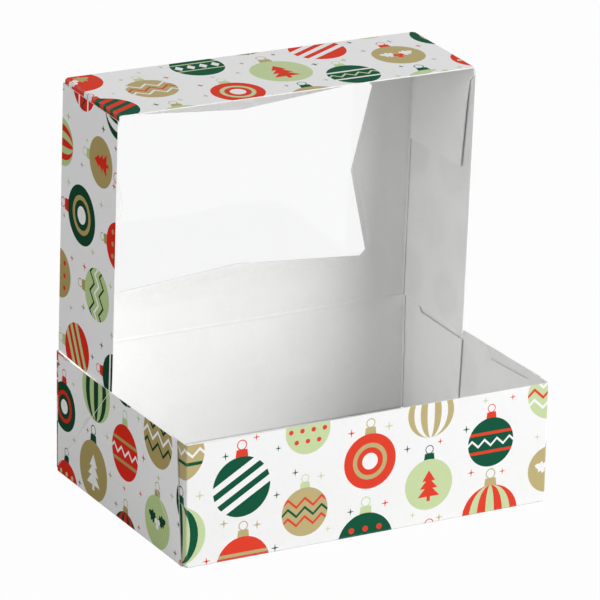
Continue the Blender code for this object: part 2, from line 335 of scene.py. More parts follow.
def gore(left, right):
    """A stripe that runs from pole to pole, as on a blown ball."""
    turns = [pi * i / GORE_STEPS - pi / 2 for i in range(GORE_STEPS + 1)]
    back = [(left * cos(t), sin(t)) for t in reversed(turns)]
    return [(right * cos(t), sin(t)) for t in turns] + back[1:-1]


def leaf(angle, length, width):
    """A holly leaf, spiked along both sides, that grows from the middle of the ball."""
    side = []
    for i in range(1, LEAF_STEPS):
        swell = sin(pi * i / LEAF_STEPS) * width * (LEAF_SPIKE if i % 2 else LEAF_HOLLOW)
        side.append((length * i / LEAF_STEPS, swell))
    outline = [(LEAF_STEM, 0)] + side + [(length, 0)] + [(x, -y) for x, y in reversed(side)]
    return [(x * cos(angle) - y * sin(angle), x * sin(angle) + y * cos(angle)) for x, y in outline]


def diamond(x, y, half, tall):
    return [(x - half, y), (x, y - tall), (x + half, y), (x, y + tall)]


def slanted(low, high):
    """A stripe that rises to the right, from low to high where it crosses the middle."""
    return [
        (-SLANTED_REACH, low - SLANTED_RISE),
        (SLANTED_REACH, low + SLANTED_RISE),
        (SLANTED_REACH, high + SLANTED_RISE),
        (-SLANTED_REACH, high - SLANTED_RISE),
    ]


def fir(low, half, tall):
    return [(-half, low), (half, low), (0, low + tall)]


SPOTS = ((-0.5, 0.46), (0, 0.46), (0.5, 0.46))
SPOTS += ((-0.75, 0), (-0.25, 0), (0.25, 0), (0.75, 0))
SPOTS += ((-0.5, -0.46), (0, -0.46), (0.5, -0.46))
TRUNK = [(-0.07, -0.66), (0.07, -0.66), (0.07, -0.48), (-0.07, -0.48)]

# What is drawn on a ball, in radii from its middle: outlines, each with 0 or 1 for the first or
# second ink of its trim, or 2 for the ball's own ink.
DRESSES = [
    [(bar(0.32, 0.44), 0), (bar(-0.44, -0.32), 0), (zigzag(0, 0.13, 0.11, 4), 1)],
    [(disc(x, y, 0.10), 0) for x, y in SPOTS],
    [(gore(-0.16, 0.16), 0), (gore(0.46, 0.74), 0), (gore(-0.74, -0.46), 0)],
    [
        (zigzag(0.40, 0.17, 0.12, 3), 0),
        (zigzag(0.02, 0.17, 0.12, 3), 1),
        (zigzag(-0.36, 0.17, 0.12, 3), 0),
    ],
    [
        (fir(-0.48, 0.46, 0.50), 0),
        (fir(-0.16, 0.37, 0.44), 0),
        (fir(0.14, 0.27, 0.42), 0),
        (TRUNK, 0),
    ],
    [
        (leaf(0.35, 0.72, 0.22), 0),
        (leaf(pi - 0.35, 0.72, 0.22), 0),
        (disc(-0.11, 0.02, 0.11), 1),
        (disc(0.11, 0.02, 0.11), 1),
        (disc(0, -0.17, 0.11), 1),
    ],
    [
        (bar(0.30, 0.38), 1),
        (bar(-0.38, -0.30), 1),
        *((diamond(x, 0, 0.17, 0.24), 0) for x in (-0.72, -0.24, 0.24, 0.72)),
    ],
    [(slanted(0.42, 0.66), 0), (slanted(-0.06, 0.18), 0), (slanted(-0.54, -0.30), 0)],
    [(disc(0, 0, 0.66, 32), 0), (disc(0, 0, 0.50, 32), 2), (disc(0, 0, 0.30, 24), 1)],
]
LOOP = disc(0, 1.38, 0.175, 22)
LOOP_HOLE = disc(0, 1.38, 0.140, 22)
CAP = [(-0.23, 0.90), (0.23, 0.90), (0.19, 1.23), (-0.19, 1.23)]


def toss_print(seed, low, high):
    """Baubles and twinkles over this stretch of print. A shape is an outline, its ink and the
    number of the ball that it stays inside, if any; a ball also has its middle and radius."""
    dice = random.Random(seed)
    shapes, balls = [], []
    columns = int((high[0] - low[0]) / ACROSS_STEP) + 3
    rows = int((high[1] - low[1]) / ROW_STEP) + 3
    left = low[0] - dice.uniform(0.2, 0.9) * ACROSS_STEP
    foot = low[1] - dice.uniform(0.3, 0.7) * ROW_STEP
    for row in range(rows):
        for column in range(columns):
            x = left + column * ACROSS_STEP + dice.uniform(-STRAY, STRAY)
            y = foot + (row + 0.5 * (column % 2)) * ROW_STEP + dice.uniform(-STRAY, STRAY)
            radius = dice.uniform(*BALL_RADIUS)
            colour = INK_ORDER[(column + 2 * row + seed) % 4]
            first, second = dice.choice(TRIM[colour])
            cap = dice.choice([i for i in INK_ORDER if i != colour])
            inks = (first, second, colour)
            ball = len(shapes)
            balls.append((x, y, radius, colour))
            drawn = [(LOOP, cap, None), (LOOP_HOLE, "bare", None), (CAP, cap, None)]
            whole = ball + len(drawn)
            drawn.append((disc(0, 0, 1, BALL_POINTS), colour, None))
            dress = DRESSES[(5 * column + 7 * row + seed) % len(DRESSES)]
            drawn += [(outline, inks[which], whole) for outline, which in dress]
            for outline, name, inside in drawn:
                shapes.append((np.array(outline) * radius + (x, y), name, inside))
    stars = []
    for _ in range(TWINKLE_TRIES * columns * rows):
        x = dice.uniform(low[0], high[0])
        y = dice.uniform(low[1], high[1])
        of_balls = all(
            (x - a) ** 2 + (y - b) ** 2 > (r + CLEAR_OF_BALL) ** 2 for a, b, r, _ in balls
        )
        of_loops = all(
            (x - a) ** 2 + (y - b - LOOP_UP * r) ** 2 > CLEAR_OF_LOOP ** 2 for a, b, r, _ in balls
        )
        of_stars = all((x - a) ** 2 + (y - b) ** 2 > CLEAR_OF_TWINKLE ** 2 for a, b in stars)
        if of_balls and of_loops and of_stars:
            stars.append((x, y))
            reach = dice.uniform(*TWINKLE)
            points = []
            for i in range(8):
                far = reach if i % 2 == 0 else reach * TWINKLE_WAIST
                points.append((x + far * cos(tau * i / 8), y + far * sin(tau * i / 8)))
            shapes.append((np.array(points), dice.choice(INK_ORDER), None))
    return shapes, balls


# How every panel is made: its outline is cut from the flat board with the print on it, the first
# stretch is creased and turned up by a right angle, and pressing the crease raised a bead inside.

BOARD = 0.0005
FOLD_RADIUS = 0.0008
MID_RADIUS = FOLD_RADIUS - BOARD / 2
BEND_LENGTH = MID_RADIUS * pi / 2
BEFORE_BEND = 0.0005
BEND_STEPS = 10
BEAD_RISE = 0.00045
BEAD_HALF = 0.00066
BEAD_MIDDLE = BEND_LENGTH / 2 + 0.00030
VALLEY_HALF = 0.00034
GRID = 0.004
TINY = 1e-6
ONE_POINT = 1e-7
INSIDE = 1
X, Y, Z = Vector((1, 0, 0)), Vector((0, 1, 0)), Vector((0, 0, 1))


def turned_up(u, v, side):
    """Points of a folded panel in its own frame: side is 1 on the outside and -1 on the inside."""
    turn = np.clip(v, 0, BEND_LENGTH) / MID_RADIUS
    y = np.where(v < 0, v, MID_RADIUS * np.sin(turn)) + side * BOARD / 2 * np.sin(turn)
    z = MID_RADIUS * (1 - np.cos(turn)) + np.maximum(v - BEND_LENGTH, 0)
    z = z - side * BOARD / 2 * np.cos(turn)
    if side < 0:
        off = np.clip(np.abs(v - BEAD_MIDDLE) / BEAD_HALF, 0, 1)
        bead = BEAD_RISE * np.sqrt(1 - off * off)
        y = y - bead / sqrt(2)
        z = z + bead / sqrt(2)
    return np.stack([u, y, z], 1)


def eased(value, start, end):
    """0 up to start, 1 from end on, and smooth between."""
    share = np.clip((value - start) / (end - start), 0, 1)
    return share * share * (3 - 2 * share)


def left_flat(u, v, side):
    return np.stack([u, v, np.full_like(u, -side * BOARD / 2)], 1)


def bend_lines(low, high):
    """Lines across the flat panel that the bend and its bead are rounded on."""
    first, last = BEAD_MIDDLE - BEAD_HALF, BEAD_MIDDLE + BEAD_HALF
    heights = [first + (last - first) * i / BEND_STEPS for i in range(BEND_STEPS + 1)]
    heights = [first - VALLEY_HALF] + heights + [last + VALLEY_HALF, last + 2 * VALLEY_HALF]
    return [((low, v), (high, v)) for v in heights]


GHOST_OF = {"green": 1.0, "red": 0.8, "gold": 0.65, "pale": 0.45}
GHOST_SOFT = 0.0026


def show_through(points, balls, strength):
    """How much of the print behind each point shows on the bare side, softened by the board: its
    show-through, with painted shade of light from behind.
    """
    seen = np.zeros(len(points))
    for x, y, radius, colour in balls:
        away = np.hypot(points[:, 0] - x, points[:, 1] - y)
        edge = np.clip((radius - away + GHOST_SOFT) / (2 * GHOST_SOFT), 0, 1)
        seen = np.maximum(seen, GHOST_OF[colour] * edge * edge * (3 - 2 * edge))
    return seen * strength


def cut_out(loops, shapes, print_at, lines, inked):
    """The flat panel as triangles that follow its outline, its lines and the edges of its print.

    Returns its points, the triangles and the name of each triangle's ink."""
    flat = np.array([point for loop in loops for point in loop])
    points, faces, edges = [], [], []

    def add_loop(loop):
        x, y = np.array(loop).T
        if (x * np.roll(y, -1) - y * np.roll(x, -1)).sum() < 0:
            loop = loop[::-1]
        faces.append(list(range(len(points), len(points) + len(loop))))
        points.extend(Vector(point) for point in loop)

    for loop in loops:
        add_loop(loop)
    turn, corner = print_at
    drawn, number = [], {}
    low, high = flat.min(0), flat.max(0)
    for i, (outline, colour, inside) in enumerate(shapes):
        here = (outline - corner) @ turn
        if (here.max(0) < low).any() or (here.min(0) > high).any():
            continue
        if inside is not None and inside not in number:
            continue
        number[i] = len(faces)
        add_loop(here)
        drawn.append((colour, number.get(inside)))
    if inked < high[1]:
        lines = [*lines, ((low[0], inked), (high[0], inked))]
    for start, end in lines:
        edges.append((len(points), len(points) + 1))
        points.extend([Vector(start), Vector(end)])
    for u in np.arange(low[0] + GRID / 2, high[0], GRID):
        for v in np.arange(low[1] + GRID / 2, high[1], GRID):
            points.append(Vector((u, v)))
    cut = delaunay_2d_cdt(points, edges, faces, INSIDE, ONE_POINT, True)
    flat = np.array([tuple(point) for point in cut[0]])
    triangles, inks = [], []
    holes = set(range(1, len(loops)))
    for triangle, found in zip(cut[2], cut[5]):
        if 0 not in found or holes & set(found):
            continue
        ink = "bare"
        has_print = min(flat[i][1] for i in triangle) < inked - TINY
        for face in sorted(found):
            if face >= len(loops) and has_print:
                colour, inside = drawn[face - len(loops)]
                if inside is None or inside in found:
                    ink = colour
        triangles.append(triangle)
        inks.append(ink)
    triangles = np.array(triangles)
    used = np.unique(triangles)
    renumber = np.zeros(len(flat), int)
    renumber[used] = np.arange(len(used))
    return flat[used], renumber[triangles], inks


def folded(flat, form, frame_at):
    """Where the flat points come to lie, outside first and then inside, and how each one faces."""
    stand = np.array(frame_at)
    places, normals = [], []
    u, v = flat[:, 0], flat[:, 1]
    for side in (1, -1):
        here = form(u, v, side)
        along_u = form(u + TINY, v, side) - form(u - TINY, v, side)
        along_v = form(u, v + TINY, side) - form(u, v - TINY, side)
        facing = np.cross(along_u, along_v) * -side
        facing /= np.linalg.norm(facing, axis=1, keepdims=True)
        places.append(here @ stand[:3, :3].T + stand[:3, 3])
        normals.append(facing @ stand[:3, :3].T)
    return np.concatenate(places), np.concatenate(normals)


def note(mesh, name, values):
    """Keeps a number for each flat point, on both sides, for the board's finish to read."""
    numbers = mesh.attributes.new(name, "FLOAT", "POINT")
    numbers.data.foreach_set("value", np.tile(values, 2).astype(np.float32))


# How dark the painted shade in a crease's valley is, and how light the painted highlight by its
# bead.
VALLEY_PAINTED_SHADE = 0.85
BEAD_HIGHLIGHT = 0.4
FOLD_WEAR = 1.6


def board_piece(
    name, body, loops, form, frame_at, print_at, sheet,
    lines=(), seen=0.3, inked=1.0, ink_shade=1.0,
):
    """One panel of board as a finished piece, in place of the plain solid of the same name.

    loops: its outline and then its holes, in the flat. form: flat point to folded point.
    frame_at: matrix that stands it in its place. print_at: matrix from the flat to the print.
    lines: lines that its triangles follow. seen: how much of the print shows on the bare side, as
    show-through and painted shade.
    inked: how far from its fold the print goes on, as glue needs bare board.
    The last argument: a power on the inks, painted shade that darkens the print of the side walls."""
    shapes, balls = sheet
    flat, triangles, inks = cut_out(loops, shapes, print_at, lines, inked)
    places, normals = folded(flat, form, frame_at)
    count = len(flat)
    ends = {}
    for a, b, c in triangles:
        for start, end in ((a, b), (b, c), (c, a)):
            ends[(start, end)] = True
    rim = [(a, b, b + count, a + count) for a, b in ends if (b, a) not in ends]

    corners = [tuple(int(i) for i in t[::-1]) for t in triangles]
    corners += [tuple(int(i) + count for i in t) for t in triangles]
    corners += [tuple(int(i) for i in quad) for quad in rim]
    mesh = bpy.data.meshes.new(name)
    mesh.from_pydata(places.tolist(), [], corners)
    mesh.polygons.foreach_set("use_smooth", np.ones(len(corners), bool))
    kinds = np.repeat([0, 1, 2], [len(triangles), len(triangles), len(rim)])
    mesh.polygons.foreach_set("material_index", kinds.astype(np.int32))
    for finish in (printed_face, bare_face, cut_edge):
        mesh.materials.append(finish)

    # The inks raised to a power: painted shade that darkens the print of the side walls.
    shaded_inks = {ink: tuple(c ** ink_shade for c in colour) for ink, colour in INKS.items()}
    shaded_inks["bare"] = CARTON_WHITE
    tint = np.ones((len(mesh.loops), 4), np.float32)
    tint[:, :3] = CARTON_WHITE
    tint[: 3 * len(inks), :3] = np.repeat([shaded_inks[ink] for ink in inks], 3, axis=0)
    ink_of = mesh.color_attributes.new("ink", "FLOAT_COLOR", "CORNER")
    ink_of.data.foreach_set("color", tint.ravel())
    v = flat[:, 1]
    turn, corner = print_at
    note(mesh, "show_through", show_through(flat @ turn.T + corner, balls, seen) * (v < inked))
    # Painted shade in the valley where the bead meets the turned panel, and painted highlight on
    # the bead's other half and just before it.
    turned_side = np.clip(1 - np.abs(v - BEAD_MIDDLE - BEAD_HALF) / (2 * VALLEY_HALF), 0, 1)
    bead_highlight = 1 - eased(v, BEAD_MIDDLE - BEAD_HALF / 2, BEAD_MIDDLE + BEAD_HALF / 2)
    shade_and_highlight = VALLEY_PAINTED_SHADE * turned_side - BEAD_HIGHLIGHT * bead_highlight
    note(mesh, "painted_crease_shading", shade_and_highlight if lines and body else np.zeros(count))
    worn = np.clip(FOLD_WEAR - np.abs(v - BEND_LENGTH / 2) / BEND_LENGTH * FOLD_WEAR, 0, 1)
    note(mesh, "fold", worn if form is not left_flat else np.zeros(count))

    facing = np.zeros((len(mesh.loops), 3))
    on_faces = 6 * len(triangles)
    index = np.concatenate([np.array(c) for c in corners])
    facing[:on_faces] = normals[index[:on_faces]]
    for i, (a, b, c, d) in enumerate(rim):
        out = np.cross(places[b] - places[a], places[d] - places[a])
        first = on_faces + 4 * i
        facing[first : first + 4] = out / max(np.linalg.norm(out), TINY * TINY)
    mesh.normals_split_custom_set(facing.tolist())
    piece = bpy.data.objects.new(name + "_board", mesh)
    scene.collection.objects.link(piece)
    if body:
        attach(piece, body)
        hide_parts(name)
    return piece


def standing(origin, across, away, within=Matrix()):
    """Matrix that puts a panel's flat across and away along these directions."""
    turn = Matrix((across, away, across.cross(away))).transposed().to_4x4()
    return within @ Matrix.Translation(origin) @ turn


def print_frame(across, up, corner=(0.0, 0.0)):
    """Matrix from the flat to the print: how the print's own across and up lie on the panel."""
    return np.array([across, up], float), np.array(corner, float)


ARC_STEPS = 4


def rounded(corners, radius):
    """Points of a closed outline whose corners are turned with small arcs."""
    points = []
    for i, corner in enumerate(corners):
        here = Vector(corner)
        before = (Vector(corners[i - 1]) - here).normalized()
        after = (Vector(corners[(i + 1) % len(corners)]) - here).normalized()
        half_angle = before.angle(after) / 2
        middle = here + (before + after).normalized() * radius / sin(half_angle)
        start = (here + before * radius * cos(half_angle) / sin(half_angle)) - middle
        turn = pi - 2 * half_angle
        if before.x * after.y - before.y * after.x > 0:
            turn = -turn
        for step in range(ARC_STEPS + 1):
            points.append(tuple(middle + Matrix.Rotation(turn * step / ARC_STEPS, 2) @ start))
    return points


def unrolled(distance):
    """Distance along the flat board, from one measured from the outside of the fold."""
    return BEND_LENGTH + distance - FOLD_RADIUS


# The bottom of the base: one flat panel of the board that the whole box is cut from, white on both
# sides. It has a crease along each of its four edges, from which the walls are turned up.

WIDTH = 0.2032
DEPTH = 0.14605
HEIGHT = 0.0635
AS_WALL = print_frame((-1, 0), (0, 1))
NO_PRINT = ([], [])
CUT_ROUND = 0.0012

half_x = WIDTH / 2 - FOLD_RADIUS - BEFORE_BEND
half_y = DEPTH / 2 - FOLD_RADIUS - BEFORE_BEND
corners = [(-half_x, -half_y), (half_x, -half_y), (half_x, half_y), (-half_x, half_y)]
board_piece(
    "base_bottom", "base", [rounded(corners, CUT_ROUND)], left_flat,
    standing(Z * BOARD / 2, X, Y), AS_WALL, NO_PRINT,
)


# The front and back walls of the base, turned up from the bottom, each with a flap at both ends
# that goes round the corner and is glued inside the side wall. The lid's crease ends the back wall.

GAP = 0.0003
SIDE_X = WIDTH / 2 - BOARD / 2
FLAP_X = SIDE_X - BOARD - GAP
WALL_Y = DEPTH / 2 - BOARD / 2
HINGE_Z = HEIGHT + GAP + BOARD / 2
CREASE_HALF = 0.0012
CORNER_FOLD = FLAP_X + BOARD / 2 - FOLD_RADIUS

FLAP_FOOT = 0.0012
FLAP_TAPER = 0.0030
STEP_RUN = 0.0032
STEP_DROP = 0.0036
FLAP_FALL = 0.0014
FLAP_TOP = HEIGHT - STEP_DROP
BACK_SHOULDER = 0.0150
BACK_FLAP = 0.0610
BACK_SLANT = 0.0040
FLAPS_APART = 0.01805
FRONT_SHOULDER = 0.0160
FRONT_FLAP = DEPTH - BACK_FLAP - FLAPS_APART
FRONT_SLANT = 0.0110
FRONT_DROP = 0.0195
FRONT_DRAFT = 0.0050
HINGE_RISE = 0.0009
FRONT_STEP = 0.0010
BASE_INKED = 0.0125
GLUED_DOWN = 0.00026
BASE_SPRING = 0.0003
GLUE_BEGINS = (0.010, 0.018)
TOP_EDGE = (0.044, 0.058)
TOP_BEGINS = (0.010, 0.022)
FAR_END = (0.036, 0.056)

LID_REACH = 0.15635
LID_RUN = 0.2073
BLEED = 0.001

wall_reach = CORNER_FOLD + unrolled(BACK_FLAP)
front_print = toss_print(3, (-wall_reach, -BLEED), (wall_reach, HEIGHT))
lid_print = toss_print(8, (-LID_REACH, -LID_RUN), (LID_REACH, HINGE_Z))
ON_BACK = print_frame((1, 0), (0, -1), (0, BEND_LENGTH - FOLD_RADIUS + HINGE_Z))

half = CORNER_FOLD - BEFORE_BEND
for name, end, top, sheet, on_print in (
    ("base_front_wall", -1, HEIGHT, front_print, AS_WALL),
    ("base_back_wall", 1, HINGE_Z - CREASE_HALF, lid_print, ON_BACK),
):
    free = unrolled(top)
    corners = [(-half, -BEFORE_BEND), (half, -BEFORE_BEND), (half, free), (-half, free)]
    origin = Vector((0, end * (DEPTH / 2 - FOLD_RADIUS), BOARD / 2))
    board_piece(
        name, "base", [corners], turned_up, standing(origin, end * X, end * Y),
        on_print, sheet, bend_lines(-half, half),
    )

front_flap = [
    (unrolled(FRONT_FLAP - FRONT_DRAFT), FLAP_FOOT + FLAP_TAPER),
    (unrolled(FRONT_FLAP), FLAP_TOP - FLAP_FALL - FRONT_DROP),
    (unrolled(FRONT_FLAP - FRONT_SLANT), FLAP_TOP - FLAP_FALL - FRONT_STEP),
    (unrolled(FRONT_SHOULDER + STEP_RUN), FLAP_TOP - FRONT_STEP),
    (unrolled(FRONT_SHOULDER), HEIGHT),
]
back_flap = [
    (unrolled(BACK_FLAP - BACK_SLANT), FLAP_FOOT + FLAP_TAPER),
    (unrolled(BACK_FLAP), FLAP_TOP - FLAP_FALL),
    (unrolled(BACK_SHOULDER + STEP_RUN), FLAP_TOP),
    (unrolled(BACK_SHOULDER), HEIGHT),
]


def glued_flap(u, v, side):
    """A flap drawn to its side wall by the glue, its top and its far end sprung a little away."""
    points = turned_up(u, v, side)
    points[:, 1] += GLUED_DOWN * eased(v, *GLUE_BEGINS)
    at_top = eased(np.abs(u), *TOP_EDGE) * eased(v, *TOP_BEGINS)
    free_edge = np.maximum(eased(v, *FAR_END), at_top)
    points[:, 1] -= (GLUED_DOWN + BASE_SPRING) * free_edge
    return points


for end, word, free, sheet in (
    (-1, "front", front_flap, front_print),
    (1, "back", back_flap, lid_print),
):
    for side, hand in ((-1, "left"), (1, "right")):
        way = -side * end
        at_fold = HEIGHT + (HINGE_RISE if word == "back" else 0)
        outline = [(0, FLAP_FOOT)] + free + [(0, at_fold)]
        outline = [(-BEFORE_BEND if v == 0 else v, height) for v, height in outline]
        corners = [(way * height, v) for v, height in outline]
        origin = Vector((side * CORNER_FOLD, end * WALL_Y, 0))
        on_print = print_frame((0, way), (way, 0), (way * CORNER_FOLD, BEND_LENGTH - FOLD_RADIUS))
        if word == "back":
            on_print = print_frame((0, -way), (side, 0), (side * CORNER_FOLD, HINGE_Z))
        board_piece(
            f"base_{word}_{hand}_flap", "base", [corners], glued_flap,
            standing(origin, way * Z, side * X), on_print, sheet,
            bend_lines(-HEIGHT - HINGE_RISE, HEIGHT + HINGE_RISE), seen=0.2, inked=BASE_INKED,
        )


# The side walls of the base, the outermost layer: their ends are cut short of the corner folds, and
# two pressed lines slant up from their lower corners, where the walls fold in when the box is flat.
# The print has cracked to bare board along those lines, and its inks are darkened here by painted
# shade.

SIDE_FRONT_LOW = 0.0031
SIDE_FRONT_TOP = 0.0089
SIDE_BACK_LOW = 0.0031
SIDE_BACK_TOP = 0.0042
SLANT_HALF = 0.00047
SLANT_DEPTH = 0.00014
SLANT_LOW = 0.002
SLANT_INSIDE = 0.7
SLANT_LINES = (-1, -0.5, 0, 0.5, 1)
CRACK_HALF = 0.00016
TOP_MISS = 1e-5
# Power on the side walls' inks: painted shade that darkens their print.
SIDE_WALL_SHADE = 1.3


def turned_up_and_scored(u, v, side):
    """As turned_up, with the two slanting lines pressed in from the outside."""
    points = turned_up(u, v, side)
    height = v - BEND_LENGTH + FOLD_RADIUS
    off = np.abs(DEPTH / 2 - np.abs(u) - height) / sqrt(2)
    pressed = SLANT_DEPTH * np.clip(1 - (off / SLANT_HALF) ** 2, 0, 1) * (v > BEND_LENGTH)
    points[:, 1] -= pressed if side > 0 else SLANT_INSIDE * pressed
    return points


for side, hand, seed in ((-1, "left", 5), (1, "right", 9)):
    corners = [
        (SIDE_FRONT_LOW - DEPTH / 2, -BEFORE_BEND),
        (DEPTH / 2 - SIDE_BACK_LOW, -BEFORE_BEND),
        (DEPTH / 2 - SIDE_BACK_TOP, unrolled(HEIGHT)),
        (SIDE_FRONT_TOP - DEPTH / 2, unrolled(HEIGHT)),
    ]
    corners = [(-side * y, v) for y, v in corners]
    scored = []
    for shift in SLANT_LINES:
        off = shift * SLANT_HALF * sqrt(2)
        for way in (-1, 1):
            scored.append((
                (way * (DEPTH / 2 - SLANT_LOW + off), unrolled(SLANT_LOW)),
                (way * (DEPTH / 2 - HEIGHT + off), unrolled(HEIGHT) - TOP_MISS),
            ))
    origin = Vector((side * (WIDTH / 2 - FOLD_RADIUS), 0, BOARD / 2))
    shapes, balls = toss_print(seed, (-DEPTH / 2, -BLEED), (DEPTH / 2, HEIGHT))
    thin = CRACK_HALF * sqrt(2)
    for way in (-1, 1):
        crack = [
            (way * (DEPTH / 2 - SLANT_LOW + thin), unrolled(SLANT_LOW)),
            (way * (DEPTH / 2 - SLANT_LOW - thin), unrolled(SLANT_LOW)),
            (way * (DEPTH / 2 - HEIGHT - thin), unrolled(HEIGHT)),
            (way * (DEPTH / 2 - HEIGHT + thin), unrolled(HEIGHT)),
        ]
        shapes.append((np.array(crack), "bare", None))
    board_piece(
        f"base_{hand}_wall", "base", [corners], turned_up_and_scored,
        standing(origin, -side * Y, side * X), AS_WALL, (shapes, balls),
        bend_lines(-DEPTH / 2, DEPTH / 2) + scored, seen=1.0, ink_shade=SIDE_WALL_SHADE,
    )


# The lid: a panel with the window cut in it, two side walls, and a front wall whose flaps are
# glued inside them. It goes inside the base when it is closed, so it is a little smaller all round.

LID_LEAN = radians(2.3)
LID_CLEARANCE = 0.0005
LID_SIDE_X = FLAP_X - BOARD - LID_CLEARANCE
LID_FLAP_X = LID_SIDE_X - BOARD - GAP
LID_LENGTH = DEPTH - BOARD / 2 - BOARD - LID_CLEARANCE
LID_SHALLOWER = 0.0010
LID_DEPTH = HEIGHT - LID_SHALLOWER
WINDOW_LOW = 0.0259
WINDOW_TOP = 0.0233
WINDOW_SIDE = 0.0244
PINCH_SIDE = 0.0103
PINCH_END = 0.0062
WINDOW_CHAMFER = 0.0030

lid_frame = Matrix.Translation((0, WALL_Y, HINGE_Z)) @ Matrix.Rotation(LID_LEAN, 4, "X")
AS_LID = print_frame((1, 0), (0, -1))

window_half = LID_SIDE_X + BOARD / 2 - WINDOW_SIDE
window_tall = (LID_LENGTH - WINDOW_LOW - WINDOW_TOP) / 2
window_middle = WINDOW_LOW + window_tall
near_corner = [
    (window_half, window_tall - WINDOW_CHAMFER),
    (window_half - WINDOW_CHAMFER, window_tall),
]
upper = [(window_half - PINCH_SIDE, 0), *near_corner, (0, window_tall - PINCH_END)]
upper += [(-u, v) for u, v in reversed(near_corner)]
window = [(u, v + window_middle) for u, v in upper + [(-u, -v) for u, v in upper]]

half = LID_SIDE_X + BOARD / 2 - FOLD_RADIUS - BEFORE_BEND
top = LID_LENGTH - FOLD_RADIUS - BEFORE_BEND
corners = [(-half, CREASE_HALF), (half, CREASE_HALF), (half, top), (-half, top)]
board_piece(
    "lid_window_panel", "lid", [corners, window], left_flat,
    standing(Vector(), X, Z, lid_frame), AS_LID, lid_print, seen=0.25,
)

half = LID_FLAP_X + BOARD / 2 - FOLD_RADIUS - BEFORE_BEND
free = unrolled(LID_DEPTH)
corners = [(-half, -BEFORE_BEND), (half, -BEFORE_BEND), (half, free), (-half, free)]
board_piece(
    "lid_front_wall", "lid", [corners], turned_up,
    standing(Vector((0, 0, LID_LENGTH - FOLD_RADIUS)), X, Z, lid_frame),
    print_frame((1, 0), (0, -1), (0, FOLD_RADIUS - LID_LENGTH)), lid_print,
    bend_lines(-half, half),
)

LID_WALL_FOOT = 0.0005
LID_WALL_TIP = 0.0004
LID_WALL_SHORT = 0.0026
LID_BULGE = 0.0001
BULGE_FADES = (0.0003, 0.010)
BULGE_BEGINS = (0.003, 0.016)
LID_FLAP = 0.0576
LID_FLAP_FOOT = 0.0016
LID_STEP_FROM = 0.0045
LID_STEP_TO = 0.0083
LID_STEP_DROP = 0.0040
LID_FLAP_TAPER = 0.0080
LID_FLAP_SLANT = 0.0022
LID_INKED = 0.0070
LID_SPRING = 0.0007
LID_GLUE_BEGINS = (BEND_LENGTH, 0.006)
OPEN_EDGE = (0.036, 0.054)
OPEN_EDGE_BEGINS = (0.004, 0.018)


def bulged(u, v, side):
    """A side wall of the lid: turned up, with its edge by the hinge pushed out a little."""
    points = turned_up(u, v, side)
    points[:, 1] += LID_BULGE * (1 - eased(np.abs(u), *BULGE_FADES)) * eased(v, *BULGE_BEGINS)
    return points


def glued_lid_flap(u, v, side):
    """As glued_flap, but it is the edge by the opening of the lid that springs away."""
    points = turned_up(u, v, side)
    points[:, 1] += GLUED_DOWN * eased(v, *LID_GLUE_BEGINS)
    free_edge = eased(np.abs(u), *OPEN_EDGE) * eased(v, *OPEN_EDGE_BEGINS)
    points[:, 1] -= (GLUED_DOWN + LID_SPRING) * free_edge
    return points


for side, hand, seed in ((-1, "left", 11), (1, "right", 14)):
    top = LID_LENGTH - LID_WALL_SHORT
    corners = [
        (LID_WALL_FOOT, -BEFORE_BEND),
        (LID_WALL_TIP, free),
        (top, free),
        (top, -BEFORE_BEND),
    ]
    corners = [(-side * z, v) for z, v in corners]
    side_print = toss_print(seed, (-LID_LENGTH, -LID_DEPTH), (LID_LENGTH, BLEED))
    origin = Vector((side * (LID_SIDE_X + BOARD / 2 - FOLD_RADIUS), 0, 0))
    # The lid's side walls carry the same painted shade in their inks.
    board_piece(
        f"lid_{hand}_wall", "lid", [corners], bulged,
        standing(origin, -side * Z, side * X, lid_frame), AS_LID, side_print,
        bend_lines(-LID_LENGTH, LID_LENGTH), seen=1.0, ink_shade=SIDE_WALL_SHADE,
    )
    corners = [
        (LID_FLAP_FOOT, -BEFORE_BEND),
        (LID_DEPTH, -BEFORE_BEND),
        (LID_DEPTH, unrolled(LID_STEP_FROM)),
        (LID_DEPTH - LID_STEP_DROP, unrolled(LID_STEP_TO)),
        (LID_DEPTH - LID_FLAP_TAPER, unrolled(LID_FLAP - LID_FLAP_SLANT)),
        (LID_FLAP_FOOT, unrolled(LID_FLAP)),
    ]
    corners = [(side * (BOARD / 2 - depth), v) for depth, v in corners]
    fold_x = LID_FLAP_X + BOARD / 2 - FOLD_RADIUS
    on_print = print_frame(
        (0, side), (side, 0),
        (side * fold_x, 2 * FOLD_RADIUS - LID_LENGTH - BEND_LENGTH - BOARD / 2),
    )
    board_piece(
        f"lid_{hand}_flap", "lid", [corners], glued_lid_flap,
        standing(Vector((side * fold_x, 0, LID_LENGTH - BOARD / 2)), side * Y, side * X, lid_frame),
        on_print, lid_print, bend_lines(-LID_DEPTH, LID_DEPTH), seen=0.2, inked=LID_INKED,
    )


# The crease between the back wall and the lid: the same board, pressed along one line so that it
# bends there and nowhere else. It has a bead inside.

HINGE_BEAD = 0.00022
HINGE_STEPS = 6


def across_hinge(u, v, side):
    """Upright at its foot, and leaning more and more until it leans with the lid at its top."""
    lean = LID_LEAN * (0.5 + v / (2 * CREASE_HALF))
    near = np.clip(np.abs(v) / CREASE_HALF, 0, 1)
    bead = (0.5 + 0.5 * np.cos(pi * near)) * HINGE_BEAD
    depth = side * BOARD / 2 - bead
    y = WALL_Y + depth * np.cos(lean) - v * np.sin(lean)
    z = HINGE_Z + v * np.cos(lean) + depth * np.sin(lean)
    return np.stack([u, y, z], 1)


